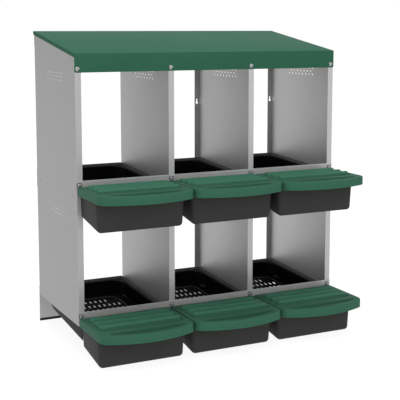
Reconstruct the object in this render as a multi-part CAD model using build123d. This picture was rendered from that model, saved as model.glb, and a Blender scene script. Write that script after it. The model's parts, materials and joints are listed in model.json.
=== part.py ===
from build123d import *
import math
import os

os.makedirs("parts", exist_ok=True)

# Chicken nesting box: two tiers of three nests in a galvanised body under a sloping roof.
# Each nest has a pan with a sloping floor, and the eggs roll out of it into a lidded tray in front.
# Millimetres. X runs across the nests, Y from front to back, Z up from the floor.
# While it is drawn, y = 0 is the front of the panels. The last step moves the origin to the middle.

# Layout of the nests
COLUMNS = ("left", "middle", "right")
TIERS = ("lower", "upper")
bay_pitch = 310.0  # between the planes of neighbouring panels
tier_pitch = 414.5  # from one row of nests to the next
body_depth = 414.5  # over the panels' front and back flanges

# Galvanised panels, each a sheet with folded flanges
panel_sheet = 1.0
bend_inside = 0.8  # inside radius of every fold
panel_foot = 95.0  # bottom edge above the floor
front_flange = 20.0
back_flange = 18.0
ledge_reach = 11.0  # folded ledges that carry the pans
vent_radius = 3.25
vent_pitch = 22.5
vent_row_gap = 11.5
vent_row_counts = (8, 7, 8)
vent_drop = 76.5  # from the top of each nest to the middle of its vents
keyhole_drop = 192.0  # from the roof's front edge to the keyholes
keyhole_width = 5.0
keyhole_length = 19.0
keyhole_entry_radius = 4.5

# Roof
roof_sheet = 0.8
nest_headroom = 431.9  # from the upper pans' ledge to the top of the roof's front edge
roof_slope = 8.9  # degrees, rising to the back
fascia_height = 58.0
fascia_corner = 6.0
fascia_screw_rise = 12.5  # above the fascia's bottom edge
side_lip = 12.0
roof_side_gap = 0.3  # between the side lips and the panels
roof_back_gap = 0.5  # between the back lip and the top rear rail

# Rails across the front
front_rail_sheet = 1.0
front_rail_top = 138.9  # above the foot of its tier
front_rail_height = 35.0
front_rail_hem = 6.0
front_rail_round = 0.95  # along the top of the hem
front_rail_screw_drop = 12.4

# Rails across the back
rear_rail_sheet = 1.0
rear_rail_depth = 6.0
rear_rail_rise = 18.0  # over the pans' rim
middle_rail_height = 58.5
top_rail_height = 42.0
top_rail_gap = 5.0  # below the roof sheet
bottom_screw_drop = 14.0  # below the top of the bottom rail
edging_height = 8.0
edging_width = 5.0
edging_round = 1.0
edging_web = 2.0  # under the rail's edge
edging_grip = 0.1  # beside the rail's sheet

# Angles that carry the upper pans
support_leg = 15.0
support_end_gap = 12.0  # from the panel's ends
support_rivet_drop = 5.0
rivet_inset = 39.0  # of the first and last rivet from the panel's front and back

# Nest pans
pan_wall = 2.5
pan_side_gap = 3.0  # from the panels' planes
pan_front_gap = 3.0  # behind the front flanges
pan_back_gap = 5.5  # before the back flanges
rim_rise = 8.0  # of the rim over the ledges, at the panels' front
rim_slope = 2.25
rim_width = 14.0
rim_corner = 10.0
rim_upturn = 9.0
basin_corner = 45.0
pan_depth = 57.8  # from the rim to the floor's underside, at the panels' front
pan_floor_slope = 4.7
pan_floor_corner = 62.0
pan_side_run = 34.0  # how far the basin's sides lean in
pan_back_run = 44.0
basin_bevel = 8.0  # where the walls turn into the floor
skirt_back_run = 90.0  # how far the outer skirt's back edge leans
foot_length = 52.0
foot_thickness = 3.0
foot_inset = 30.0  # from the ends of the panels
foot_edge_gap = 3.5  # from the rim's outer edge
slot_width = 5.0
slot_length = 22.0
slot_pitch = 18.0
slot_row_pitch = 41.0
slot_row_counts = (10, 10, 10, 10, 6)  # from front to back
slot_back_margin = 49.0  # from the back of the floor to the last row

# Egg trays
tray_wall = 2.5
tray_side_gap = 11.5  # from the panels' planes
tray_rail_gap = 0.1
tray_reach = 150.0  # front of the tray before the panels
tray_draft_side = 4.0
tray_draft_front = 5.0
tray_corner = 14.0
tray_bottom_radius = 12.0
tray_bottom_turns = (0, 30, 60, 90)  # degrees round that radius, one section at each
tray_floor_slope = 9.0
tray_lid_gap = 0.5
tray_ear_width = 30.0
tray_ear_thickness = 2.9
tray_ear_grip = 5.0  # of an ear on the wall below the hinge's notch
hook_inset = 33.0  # middle of a hook from the panel's plane
hook_width = 12.0
hook_thickness = 4.0
hook_drop = 7.0
hook_rise = 6.1  # underside of the hook's tongue over the rail's lower edge
hook_slack = 0.5  # around the tongue in the rail's slot
hook_back_gap = 0.4

# Lids
lid_wall = 2.5
lid_side_gap = 2.0  # from the panels' planes
lid_rear_gap = 7.5  # from the panels' front
lid_reach = 237.0
lid_bow_radius = 322.0
lid_corner = 32.0
lid_edge_round = 3.0
lid_skirt = 27.0
lid_height = 120.5  # top of the border above the foot of the tier
lid_border = 16.0  # flat, around the sunk field of the ridges
lid_field_rear = 22.5  # back edge of that field before the panels' front
lid_sink = 4.0  # of the field below the border
ridge_wall = 2.2
ridge_width = 41.0
ridge_end_draft = 25.0  # degrees, of the ridges' blunt ends
ridge_places = (44.0, 86.0, 128.0, 170.0)
ridge_heights = (9.0, 9.0, 9.0, 0.5)  # over the border

# Lid hinges
hinge_reach = 22.0  # axis before the panels' front
hinge_drop = 9.3  # axis below the top of the lid's border
hinge_stub_radius = 4.0
hinge_clearance = 0.05
hinge_boss_radius = 6.5
hinge_boss_gap = 1.0  # between the lid's boss and the tray's lug
hinge_lug_radius = 6.0
hinge_lug_width = 3.5
hinge_skin = 1.5  # of the lid's wall, left outside a bore
hinge_stub_gap = 0.5  # between a stub's end and the bottom of its bore
hinge_notch_depth = 18.5  # free below the axis, behind the lug, for the lid's back edge

# Fasteners
screw_radius = 2.5
screw_hole_gap = 0.25
screw_head_radius = 5.0
screw_head_height = 3.0
screw_head_round = 1.8
screw_tail = 1.5  # past the nut
nut_height = 4.0
nut_radius = 4.6  # over the corners
nut_thread_gap = 0.1
rivet_radius = 1.6
rivet_hole_gap = 0.15
rivet_head_radius = 3.5
rivet_head_height = 1.2
rivet_head_round = 0.8
rivet_tail_radius = 2.5
rivet_tail_height = 1.5

# Working lengths
cut_margin = 1.0  # how far a cut runs past the faces it opens
run_on = 30.0  # how far a pan or tray is drawn past its open end before it is cut off
same_place = 0.01  # two points closer than this are one

# Places that follow from the sizes above
half_width = len(COLUMNS) * bay_pitch / 2
ledge_height = panel_foot + panel_sheet
rim_front_height = ledge_height + rim_rise
pan_floor_height = rim_front_height - pan_depth
rear_rail_top = rim_front_height + rear_rail_rise
hinge_height = lid_height - hinge_drop
tray_ear_foot = hinge_height - hinge_notch_depth - tray_ear_grip
hook_height = front_rail_top - front_rail_height + hook_rise
upper_foot = (len(TIERS) - 1) * tier_pitch
upper_ledge = upper_foot + ledge_height
roof_rise = math.tan(math.radians(roof_slope))
roof_front = upper_ledge + nest_headroom
roof_under_front = roof_front - roof_sheet / math.cos(math.radians(roof_slope))
back_reach = body_depth + rear_rail_depth + roof_back_gap + roof_sheet
foot_spans = (
    (foot_inset, foot_inset + foot_length),
    (body_depth - foot_inset - foot_length, body_depth - foot_inset),
)
rivet_places = (rivet_inset, body_depth / 2, body_depth - rivet_inset)
hook_place = bay_pitch / 2 - hook_inset
lid_half = bay_pitch / 2 - lid_side_gap
tray_half = bay_pitch / 2 - tray_side_gap
pan_half = bay_pitch / 2 - pan_side_gap
pan_front = panel_sheet + pan_front_gap
pan_back = body_depth - panel_sheet - pan_back_gap


def block(x_span, y_span, z_span):
    """A plain block between two limits along each axis."""
    spans = (x_span, y_span, z_span)
    sizes = [high - low for low, high in spans]
    middle = [(high + low) / 2 for low, high in spans]
    return Pos(*middle) * Box(*sizes)


def side_prism(outline, x_span):
    """A solid with a side outline of (y, z) points, between two limits across."""
    start = x_span[0]
    face = make_face(Polyline(*[(start, y, z) for y, z in outline], close=True))
    return extrude(face, amount=x_span[1] - start, dir=(1, 0, 0))


def sloped_plane(height, slope):
    """The plane at a height over y = 0 that rises to the back by a slope in degrees."""
    tilt = math.radians(slope)
    return Plane(origin=(0, 0, height), x_dir=(1, 0, 0), z_dir=(0, -math.sin(tilt), math.cos(tilt)))


def slope_height(height, slope, y):
    """Height of such a plane over one y."""
    return height + y * math.tan(math.radians(slope))


def u_section(height, slope, half, open_y, closed_y, corner):
    """A rectangle on a sloped plane, square at its open end and rounded at its closed end."""
    stretch = 1 / math.cos(math.radians(slope))
    open_end = open_y * stretch
    closed_end = closed_y * stretch
    face = make_face(
        Polyline((-half, open_end), (half, open_end), (half, closed_end), (-half, closed_end), close=True)
    )
    rounded = [v for v in face.vertices() if abs(v.Y - closed_end) < same_place]
    return sloped_plane(height, slope) * fillet(rounded, corner)


def both_sides(shape):
    """A shape and its mirror image across the middle of the nest."""
    return [shape, mirror(shape, about=Plane.YZ)]


def lying_cylinder(radius, x_span, y, z):
    """A cylinder along X."""
    length = x_span[1] - x_span[0]
    return Pos((x_span[0] + x_span[1]) / 2, y, z) * Rot(0, 90, 0) * Cylinder(radius, length)


def deep_cylinder(radius, x, y_span, z):
    """A cylinder along Y."""
    length = y_span[1] - y_span[0]
    return Pos(x, (y_span[0] + y_span[1]) / 2, z) * Rot(90, 0, 0) * Cylinder(radius, length)


# Panels stand at the ends of the bays, and their flanges turn towards the middle of the box.
panel_planes = [bay_pitch * i - half_width for i in range(len(COLUMNS) + 1)]
panel_turns = [1 if plane < 0 else -1 for plane in panel_planes]
front_screw_places = [p + turn * front_flange / 2 for p, turn in zip(panel_planes, panel_turns)]
back_screw_places = [p + turn * back_flange / 2 for p, turn in zip(panel_planes, panel_turns)]
tier_feet = [tier_pitch * i for i in range(len(TIERS))]
front_rail_screw_heights = [foot + front_rail_top - front_rail_screw_drop for foot in tier_feet]
roof_screw_height = roof_front - fascia_height + fascia_screw_rise
roof_back_under = roof_under_front + body_depth * roof_rise
top_rail_top = roof_back_under - top_rail_gap
rear_rails = {
    "bottom_rear_rail": (edging_web, rear_rail_top, rear_rail_top - bottom_screw_drop),
    "middle_rear_rail": (
        upper_foot + rear_rail_top - middle_rail_height,
        upper_foot + rear_rail_top,
        upper_foot + rear_rail_top - middle_rail_height / 2,
    ),
    "top_rear_rail": (top_rail_top - top_rail_height, top_rail_top, top_rail_top - top_rail_height / 2),
}


def folded_sheet():
    """Plan of one panel with its plane at x = 0 and its flanges towards +x."""
    s = panel_sheet
    d = body_depth
    face = make_face(
        Polyline(
            (0, 0),
            (front_flange, 0),
            (front_flange, s),
            (s, s),
            (s, d - s),
            (back_flange, d - s),
            (back_flange, d),
            (0, d),
            close=True,
        )
    )
    outer = [v for v in face.vertices() if abs(v.X) < same_place]
    face = fillet(outer, bend_inside + s)
    inner = [v for v in face.vertices() if abs(v.X - s) < same_place]
    return fillet(inner, bend_inside)


def vent_holes():
    """Two groups of staggered round holes through a panel at x = 0."""
    holes = []
    for nest_top in (upper_ledge, roof_front):
        for row, count in enumerate(vent_row_counts):
            z = nest_top - vent_drop + (row - (len(vent_row_counts) - 1) / 2) * vent_row_gap
            for i in range(count):
                y = body_depth / 2 + (i - (count - 1) / 2) * vent_pitch
                holes.append(lying_cylinder(vent_radius, (-cut_margin, panel_sheet + cut_margin), y, z))
    return holes


def keyhole():
    """A keyhole through the back flange: a round entry below a narrow slot."""
    z = roof_front - keyhole_drop
    x = back_flange / 2
    span = (body_depth - panel_sheet - cut_margin, body_depth + cut_margin)
    low = z - keyhole_length / 2 + keyhole_entry_radius
    high = z + keyhole_length / 2 - keyhole_width / 2
    half = keyhole_width / 2
    entry = deep_cylinder(keyhole_entry_radius, x, span, low)
    end = deep_cylinder(half, x, span, high)
    return [entry, end, block((x - half, x + half), span, (low, high))]


def rivet_hole(y):
    """A rivet's hole through a sheet at x = 0."""
    span = (-cut_margin, panel_sheet + cut_margin)
    return lying_cylinder(rivet_radius + rivet_hole_gap, span, y, upper_ledge - support_rivet_drop)


def panel(plane, turn, ledges_both_ways):
    """One galvanised panel, moved to its plane."""
    s = panel_sheet
    top = roof_under_front + body_depth * roof_rise
    sheet = extrude(Pos(0, 0, panel_foot) * folded_sheet(), amount=top - panel_foot)
    ends = (-cut_margin, body_depth + cut_margin)
    under_roof = [(y, roof_under_front + y * roof_rise) for y in ends]
    above = [(y, 2 * top) for y in reversed(ends)]
    sheet -= side_prism(under_roof + above, (-cut_margin, front_flange + cut_margin))
    ledge_z = (panel_foot, ledge_height)
    ledges = []
    for low, high_end in foot_spans:
        middle = (low + high_end) / 2
        if ledges_both_ways:
            ledges.append(block((0, s + ledge_reach), (middle + s, high_end), ledge_z))
            ledges.append(block((-ledge_reach, s), (low, middle - s), ledge_z))
        else:
            ledges.append(block((0, s + ledge_reach), (low, high_end), ledge_z))
    sheet += ledges
    holes = vent_holes() + keyhole()
    hole_radius = screw_radius + screw_hole_gap
    front_span = (-cut_margin, s + cut_margin)
    back_span = (body_depth - s - cut_margin, body_depth + cut_margin)
    for z in front_rail_screw_heights + [roof_screw_height]:
        holes.append(deep_cylinder(hole_radius, front_flange / 2, front_span, z))
    for low, high_end, screw_z in rear_rails.values():
        holes.append(deep_cylinder(hole_radius, back_flange / 2, back_span, screw_z))
    for y in rivet_places:
        holes.append(rivet_hole(y))
    sheet -= holes
    if turn < 0:
        sheet = mirror(sheet, about=Plane.YZ)
    return Pos(plane, 0, 0) * sheet


def roof():
    """The painted roof: a sloping sheet with a front fascia, side lips and a back lip."""
    outer = half_width + roof_side_gap + roof_sheet
    front = -roof_sheet
    thick = roof_front - roof_under_front

    def top_at(y):
        return roof_front + y * roof_rise

    span = (-outer, outer)
    top = side_prism(
        [
            (front, top_at(front)),
            (back_reach, top_at(back_reach)),
            (back_reach, top_at(back_reach) - thick),
            (front, top_at(front) - thick),
        ],
        span,
    )
    bottom = roof_front - fascia_height
    fascia = block(span, (front, 0), (bottom, top_at(front)))
    ends = fascia.edges().filter_by(Axis.Y).group_by(Axis.Z)[0]
    fascia = fillet(ends, fascia_corner)
    holes = [
        deep_cylinder(screw_radius + screw_hole_gap, x, (front - cut_margin, cut_margin), roof_screw_height)
        for x in front_screw_places
    ]
    fascia -= holes
    lip_outline = [
        (front, top_at(front)),
        (back_reach, top_at(back_reach)),
        (back_reach, top_at(back_reach) - side_lip),
        (front, top_at(front) - side_lip),
    ]
    lips = both_sides(side_prism(lip_outline, (outer - roof_sheet, outer)))
    back_lip = block(
        span,
        (back_reach - roof_sheet, back_reach),
        (top_at(back_reach) - side_lip, top_at(back_reach) - thick / 2),
    )
    return top + fascia + lips + back_lip


def front_rail(foot):
    """A strip across the front of one tier, with a hemmed top and slots for the trays' hooks."""
    t = front_rail_sheet
    top = foot + front_rail_top
    span = (-half_width, half_width)
    rail = block(span, (-t, 0), (top - front_rail_height, top))
    hem = block(span, (-2 * t, -t), (top - front_rail_hem, top))
    rail += hem
    crown = rail.edges().filter_by(Axis.X).group_by(Axis.Z)[-1]
    rail = fillet(crown, front_rail_round)
    cuts = []
    through = (-2 * t - cut_margin, cut_margin)
    for x in front_screw_places:
        z = top - front_rail_screw_drop
        cuts.append(deep_cylinder(screw_radius + screw_hole_gap, x, through, z))
    reach = hook_width / 2 + hook_slack
    slot_z = (foot + hook_height - hook_slack, foot + hook_height + hook_thickness + hook_slack)
    for centre in column_centres:
        for side in (-1, 1):
            x = centre + side * hook_place
            cuts.append(block((x - reach, x + reach), through, slot_z))
    return rail - cuts


def rear_rail(low, high, screw_z, lower_lip):
    """A strip across the back, with lips turned to the back for stiffness."""
    t = rear_rail_sheet
    span = (-half_width, half_width)
    face_y = body_depth
    through = (face_y - cut_margin, face_y + t + cut_margin)
    rail = block(span, (face_y, face_y + t), (low, high))
    rail += block(span, (face_y, face_y + rear_rail_depth), (high - t, high))
    if lower_lip:
        rail += block(span, (face_y, face_y + rear_rail_depth), (low, low + t))
    hole_radius = screw_radius + screw_hole_gap
    return rail - [deep_cylinder(hole_radius, x, through, screw_z) for x in back_screw_places]


def foot_edging():
    """The edging on the bottom rear rail: a channel with a rounded foot."""
    middle = body_depth + rear_rail_sheet / 2
    half = edging_width / 2
    strip = block((-half_width, half_width), (middle - half, middle + half), (0, edging_height))
    long_edges = strip.edges().filter_by(Axis.X)
    strip = fillet(long_edges, edging_round)
    groove = rear_rail_sheet / 2 + edging_grip
    return strip - block(
        (-half_width - cut_margin, half_width + cut_margin),
        (middle - groove, middle + groove),
        (edging_web, edging_height + cut_margin),
    )


def pan_support(face_x, turn):
    """An angle along one face of a panel: a riveted leg and a ledge for the upper pans."""
    s = panel_sheet
    ends = (support_end_gap, body_depth - support_end_gap)
    leg = block((0, s), ends, (upper_ledge - support_leg, upper_ledge))
    ledge = block((0, ledge_reach), ends, (upper_ledge - s, upper_ledge))
    angle = leg + ledge
    angle -= [rivet_hole(y) for y in rivet_places]
    if turn < 0:
        angle = mirror(angle, about=Plane.YZ)
    return Pos(face_x, 0, 0) * angle


def basin(shrink, lift, past_front):
    """The pan's basin, as a solid, smaller by one wall where it is the hollow."""
    half = pan_half - rim_width + pan_wall - shrink
    back = pan_back - rim_width + pan_wall - shrink
    floor = pan_floor_height + lift
    front = -past_front
    rim = u_section(rim_front_height, rim_slope, half, front, back, basin_corner - shrink)
    low = u_section(
        floor + basin_bevel,
        pan_floor_slope,
        half - pan_side_run + basin_bevel,
        front,
        back - pan_back_run + basin_bevel,
        pan_floor_corner,
    )
    bottom = u_section(
        floor,
        pan_floor_slope,
        half - pan_side_run,
        front,
        back - pan_back_run,
        pan_floor_corner,
    )
    return loft([rim, low, bottom], ruled=True)


def floor_slots():
    """Drain slots through the pan's floor, in rows across the nest."""
    floor_back = pan_back - rim_width - pan_back_run
    z_span = (0, slope_height(rim_front_height, pan_floor_slope, pan_back))
    slot = Rot(0, 0, 90) * SlotOverall(slot_length, slot_width)
    slots = []
    for row, count in enumerate(reversed(slot_row_counts)):
        y = floor_back - slot_back_margin - row * slot_row_pitch
        for i in range(count):
            x = (i - (count - 1) / 2) * slot_pitch
            slots.append(extrude(Pos(x, y, z_span[0]) * slot, amount=z_span[1] - z_span[0]))
    return slots


def nest_pan():
    """One pan: basin, rim with an upturned edge, side skirts and feet. Its front is open to the tray."""
    pan = basin(0, 0, run_on)
    rim_outline = u_section(rim_front_height, rim_slope, pan_half, -run_on, pan_back, rim_corner)
    pan += extrude(rim_outline, amount=-pan_wall)
    edge_inner = u_section(
        rim_front_height,
        rim_slope,
        pan_half - pan_wall,
        -2 * run_on,
        pan_back - pan_wall,
        rim_corner - pan_wall,
    )
    pan += extrude(rim_outline, amount=rim_upturn) - extrude(edge_inner, amount=rim_upturn)
    skirt_back = pan_back - rim_width
    skirt_top = [slope_height(rim_front_height, rim_slope, y) - pan_wall / 2 for y in (0, skirt_back)]
    skirt_low_back = skirt_back - skirt_back_run
    skirt_outline = [
        (0, skirt_top[0]),
        (0, pan_floor_height),
        (skirt_low_back, slope_height(pan_floor_height, pan_floor_slope, skirt_low_back)),
        (skirt_back, skirt_top[1]),
    ]
    skirt_face = pan_half - rim_width + pan_wall
    pan += both_sides(side_prism(skirt_outline, (skirt_face - pan_wall / 2, skirt_face + pan_wall / 2)))
    foot_x = (pan_half - foot_edge_gap - foot_thickness, pan_half - foot_edge_gap)
    for low, high in foot_spans:
        foot_outline = [
            (low, ledge_height),
            (high, ledge_height),
            (high, slope_height(rim_front_height, rim_slope, high) - pan_wall / 2),
            (low, slope_height(rim_front_height, rim_slope, low) - pan_wall / 2),
        ]
        pan += both_sides(side_prism(foot_outline, foot_x))
    hollow = basin(pan_wall, pan_wall, 2 * run_on)
    hollow_mouth = extrude(
        u_section(
            rim_front_height,
            rim_slope,
            pan_half - rim_width,
            -2 * run_on,
            pan_back - rim_width,
            basin_corner - pan_wall,
        ),
        amount=rim_upturn + cut_margin,
    )
    pan -= hollow
    pan -= hollow_mouth
    pan -= floor_slots()
    pan -= block((-half_width, half_width), (-3 * run_on, pan_front), (0, 2 * rim_front_height))
    return pan


def tray_shell(shrink, lift, back):
    """The egg tray as a solid, open to the back, smaller by one wall where it is the hollow."""
    r = tray_bottom_radius
    top = lid_height - lid_sink - lid_wall - tray_lid_gap
    half = tray_half - shrink
    reach = tray_reach - shrink
    corner = tray_corner - shrink
    low_reach = reach - tray_draft_front
    floor_rise = math.tan(math.radians(tray_floor_slope))
    floor = (tray_reach - tray_draft_front - r) * floor_rise + lift
    sections = [u_section(top + lift, 0, half, back, -reach, corner)]
    for turn in tray_bottom_turns:
        inset = r * (1 - math.cos(math.radians(turn)))
        rise = r * (1 - math.sin(math.radians(turn)))
        sections.append(
            u_section(
                floor + rise,
                tray_floor_slope,
                half - tray_draft_side - inset,
                back,
                -low_reach + inset,
                corner,
            )
        )
    return loft(sections, ruled=True)


def egg_tray():
    """One tray: a shell open to the back, with hooks for the front rail and stubs for the lid."""
    rail_face = -front_rail_sheet - tray_rail_gap
    lug_x = (tray_half - hinge_lug_width, tray_half)
    tray = tray_shell(0, 0, run_on) - tray_shell(tray_wall, tray_wall, 2 * run_on)
    tray -= block(
        (-half_width, half_width),
        (-hinge_reach, 2 * run_on),
        (hinge_height - hinge_notch_depth, 2 * lid_height),
    )
    tray -= block((-half_width, half_width), (rail_face, 3 * run_on), (-run_on, 2 * lid_height))
    lug_foot = hinge_height - hinge_notch_depth - hinge_lug_width
    lug_y = (-hinge_reach - hinge_lug_radius, -hinge_reach + hinge_lug_radius)
    lug = block(lug_x, lug_y, (lug_foot, hinge_height))
    lug += lying_cylinder(hinge_lug_radius, lug_x, -hinge_reach, hinge_height)
    stub_end = lid_half - hinge_skin - hinge_stub_gap
    lug += lying_cylinder(hinge_stub_radius, (lug_x[0], stub_end), -hinge_reach, hinge_height)
    tray += both_sides(lug)
    ear_x = (tray_half - tray_ear_width, tray_half - tray_wall / 2)
    ear_y = (rail_face - tray_ear_thickness, rail_face)
    ear_top = hook_height + hook_thickness
    ear = block(ear_x, ear_y, (tray_ear_foot, ear_top))
    hook_x = (hook_place - hook_width / 2, hook_place + hook_width / 2)
    hook_y = (ear_y[0], hook_back_gap + hook_thickness / 2)
    ear += block(hook_x, hook_y, (hook_height, ear_top))
    ear += block(hook_x, (hook_back_gap, hook_y[1]), (hook_height - hook_drop, ear_top))
    return tray + both_sides(ear)


def lid_outline(inset, rear):
    """Plan of a lid, drawn in by an inset: straight sides and a bowed front with rounded corners."""
    half = lid_half - inset
    reach = lid_reach - inset
    bow = lid_bow_radius - inset
    side_end = -(reach - bow + math.sqrt(bow**2 - half**2))
    edges = [
        Line((half, rear), (half, side_end)),
        ThreePointArc((half, side_end), (0, -reach), (-half, side_end)),
        Line((-half, side_end), (-half, rear)),
        Line((-half, rear), (half, rear)),
    ]
    face = make_face(edges)
    corners = [v for v in face.vertices() if abs(v.Y - side_end) < same_place]
    return fillet(corners, lid_corner - inset)


def lid_field(inset):
    """Plan of the field that is sunk inside the lid's border, drawn in by an inset."""
    return lid_outline(lid_border + inset, -lid_field_rear - inset)


def ridges(shrink, foot):
    """Rounded bars side by side across the field, cut off at a foot and by drafted ends."""
    bars = []
    for place, height in zip(ridge_places, ridge_heights):
        rise = height + lid_sink
        radius = ((ridge_width / 2) ** 2 + rise**2) / (2 * rise)
        bars.append(lying_cylinder(radius - shrink, (-lid_half, lid_half), -place, height - radius))
    top = max(ridge_heights) + cut_margin
    run = (top - foot) * math.tan(math.radians(ridge_end_draft))
    field = loft([Pos(0, 0, foot) * lid_field(shrink), Pos(0, 0, top) * lid_field(shrink + run)], ruled=True)
    return field & (bars[0] + bars[1:])


def egg_lid():
    """One lid, closed on its tray: a skirted plate with cross ridges and two hinge bosses."""
    rear = -lid_rear_gap
    lid = extrude(lid_outline(0, rear), amount=-lid_skirt)
    top = lid.faces().sort_by(Axis.Z)[-1]
    rim = [e for e in top.edges() if abs(e.center().Y - rear) > same_place]
    lid = fillet(rim, lid_edge_round)
    pocket = extrude(Pos(0, 0, -lid_skirt) * lid_outline(lid_wall, lid_wall), amount=lid_skirt - lid_wall)
    pocket -= extrude(Pos(0, 0, -lid_sink - lid_wall) * lid_field(-lid_wall), amount=lid_sink + cut_margin)
    lid -= pocket
    lid -= extrude(lid_field(0), amount=-lid_sink)
    lid += ridges(0, -lid_sink - lid_wall / 2)
    lid -= ridges(ridge_wall, -lid_sink - lid_wall - cut_margin)
    lid = Pos(0, 0, lid_height) * lid
    boss_x = (tray_half + hinge_boss_gap, lid_half - lid_wall / 2)
    lid += both_sides(lying_cylinder(hinge_boss_radius, boss_x, -hinge_reach, hinge_height))
    bore_x = (tray_half, lid_half - hinge_skin)
    bore = lying_cylinder(hinge_stub_radius + hinge_clearance, bore_x, -hinge_reach, hinge_height)
    return lid - both_sides(bore)


def screw(grip):
    """A pan-head screw along +Y, its head before y = 0 and its thread through a grip and a nut."""
    length = grip + nut_height + screw_tail
    shank = deep_cylinder(screw_radius, 0, (0, length), 0)
    head = deep_cylinder(screw_head_radius, 0, (-screw_head_height, 0), 0)
    front_edge = head.edges().filter_by(GeomType.CIRCLE).sort_by(Axis.Y)[0]
    return fillet(front_edge, screw_head_round) + shank


def nut(grip):
    """The nut of such a screw."""
    blank = extrude(RegularPolygon(nut_radius, 6), amount=nut_height)
    blank -= Pos(0, 0, nut_height / 2) * Cylinder(screw_radius + nut_thread_gap, nut_height + 2 * cut_margin)
    return Pos(0, grip, 0) * Rot(-90, 0, 0) * blank


def rivet(grip):
    """A blind rivet along +X, its head before x = 0 and its tail past the grip."""
    head = lying_cylinder(rivet_head_radius, (-rivet_head_height, 0), 0, 0)
    rim = head.edges().filter_by(GeomType.CIRCLE).sort_by(Axis.X)[0]
    head = fillet(rim, rivet_head_round)
    shank = lying_cylinder(rivet_radius, (0, grip), 0, 0)
    tail = lying_cylinder(rivet_tail_radius, (grip, grip + rivet_tail_height), 0, 0)
    return head + shank + tail


def screwed(places, grip, turned):
    """Screws and their nuts at (x, y, z) places of the heads' seats, turned to face the back or not."""
    turn = Rot(0, 0, 180) if turned else Rot(0, 0, 0)
    screws = [Pos(*place) * turn * screw(grip) for place in places]
    nuts = [Pos(*place) * turn * nut(grip) for place in places]
    return Compound(children=screws), Compound(children=nuts)


# The origin is on the floor, under the middle of the whole box.
centre_y = (back_reach - lid_reach) / 2
column_centres = [bay_pitch * (i - (len(COLUMNS) - 1) / 2) for i in range(len(COLUMNS))]


def save(name, shape):
    """Write one piece, moved to the origin that the whole box shares."""
    placed = Pos(0, -centre_y, 0) * shape
    placed.label = name
    export_step(placed, f"parts/{name}.step")


panel_names = ("left_side_panel", "left_divider", "right_divider", "right_side_panel")
for name, plane, turn in zip(panel_names, panel_planes, panel_turns):
    save(name, panel(plane, turn, "divider" in name))

save("roof", roof())

for tier, foot in zip(TIERS, tier_feet):
    save(f"{tier}_front_rail", front_rail(foot))

for name, (low, high, screw_z) in rear_rails.items():
    save(name, rear_rail(low, high, screw_z, name != "bottom_rear_rail"))
save("foot_edging", foot_edging())

# Each nest of the upper tier has an angle on either side.
for column, left, right in zip(COLUMNS, range(len(COLUMNS)), range(1, len(COLUMNS) + 1)):
    left_face = panel_planes[left] + (panel_sheet if panel_turns[left] > 0 else 0)
    right_face = panel_planes[right] - (panel_sheet if panel_turns[right] < 0 else 0)
    save(f"upper_pan_support_{column}_1", pan_support(left_face, 1))
    save(f"upper_pan_support_{column}_2", pan_support(right_face, -1))

one_pan = nest_pan()
one_tray = egg_tray()
one_lid = egg_lid()
for tier, foot in zip(TIERS, tier_feet):
    for column, centre in zip(COLUMNS, column_centres):
        nest = Pos(centre, 0, foot)
        save(f"nest_pan_{tier}_{column}", nest * one_pan)
        save(f"egg_tray_{tier}_{column}", nest * one_tray)
        save(f"egg_lid_{tier}_{column}", nest * one_lid)

roof_seats = [(x, -roof_sheet, roof_screw_height) for x in front_screw_places]
front_seats = [(x, -front_rail_sheet, z) for z in front_rail_screw_heights for x in front_screw_places]
rear_seats = [
    (x, body_depth + rear_rail_sheet, screw_z)
    for low, high, screw_z in rear_rails.values()
    for x in back_screw_places
]
fixings = {
    "roof": screwed(roof_seats, roof_sheet + panel_sheet, False),
    "front_rail": screwed(front_seats, front_rail_sheet + panel_sheet, False),
    "rear_rail": screwed(rear_seats, rear_rail_sheet + panel_sheet, True),
}
for name, (screws, nuts) in fixings.items():
    save(f"{name}_screws", screws)
    save(f"{name}_nuts", nuts)

# Side panels carry one angle and dividers two, so the dividers' rivets are longer.
rivets = []
for name, plane, turn in zip(panel_names, panel_planes, panel_turns):
    spare = panel_sheet if "divider" in name else 0
    seat = plane - turn * spare
    one_rivet = rivet(2 * panel_sheet + spare)
    for y in rivet_places:
        facing = Rot(0, 0, 0) if turn > 0 else Rot(0, 0, 180)
        rivets.append(Pos(seat, y, upper_ledge - support_rivet_drop) * facing * one_rivet)
save("pan_support_rivets", Compound(children=rivets))

print(f"origin over y {centre_y:.2f}, width {2 * half_width:.1f}, roof front {roof_front:.1f}")
hinge_heights = [round(foot + hinge_height, 2) for foot in tier_feet]
print(f"hinge axis y {-hinge_reach - centre_y:.2f}, heights {hinge_heights}")
print(f"keyholes z {roof_front - keyhole_drop:.1f}, x {[round(x, 2) for x in back_screw_places]}")
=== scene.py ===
# %% [markdown]
# A chicken nesting box holds six nests in two tiers, in a galvanised body under a green roof.
# Its construction comes from CAD at real size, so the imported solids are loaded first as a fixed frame.
# Folded panels and rails keep their solids and get finishes. Mouldings, roof and screws are modelled
# anew around that frame, because their rounded forms gain most from Blender's tools.

import json
import math

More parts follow.
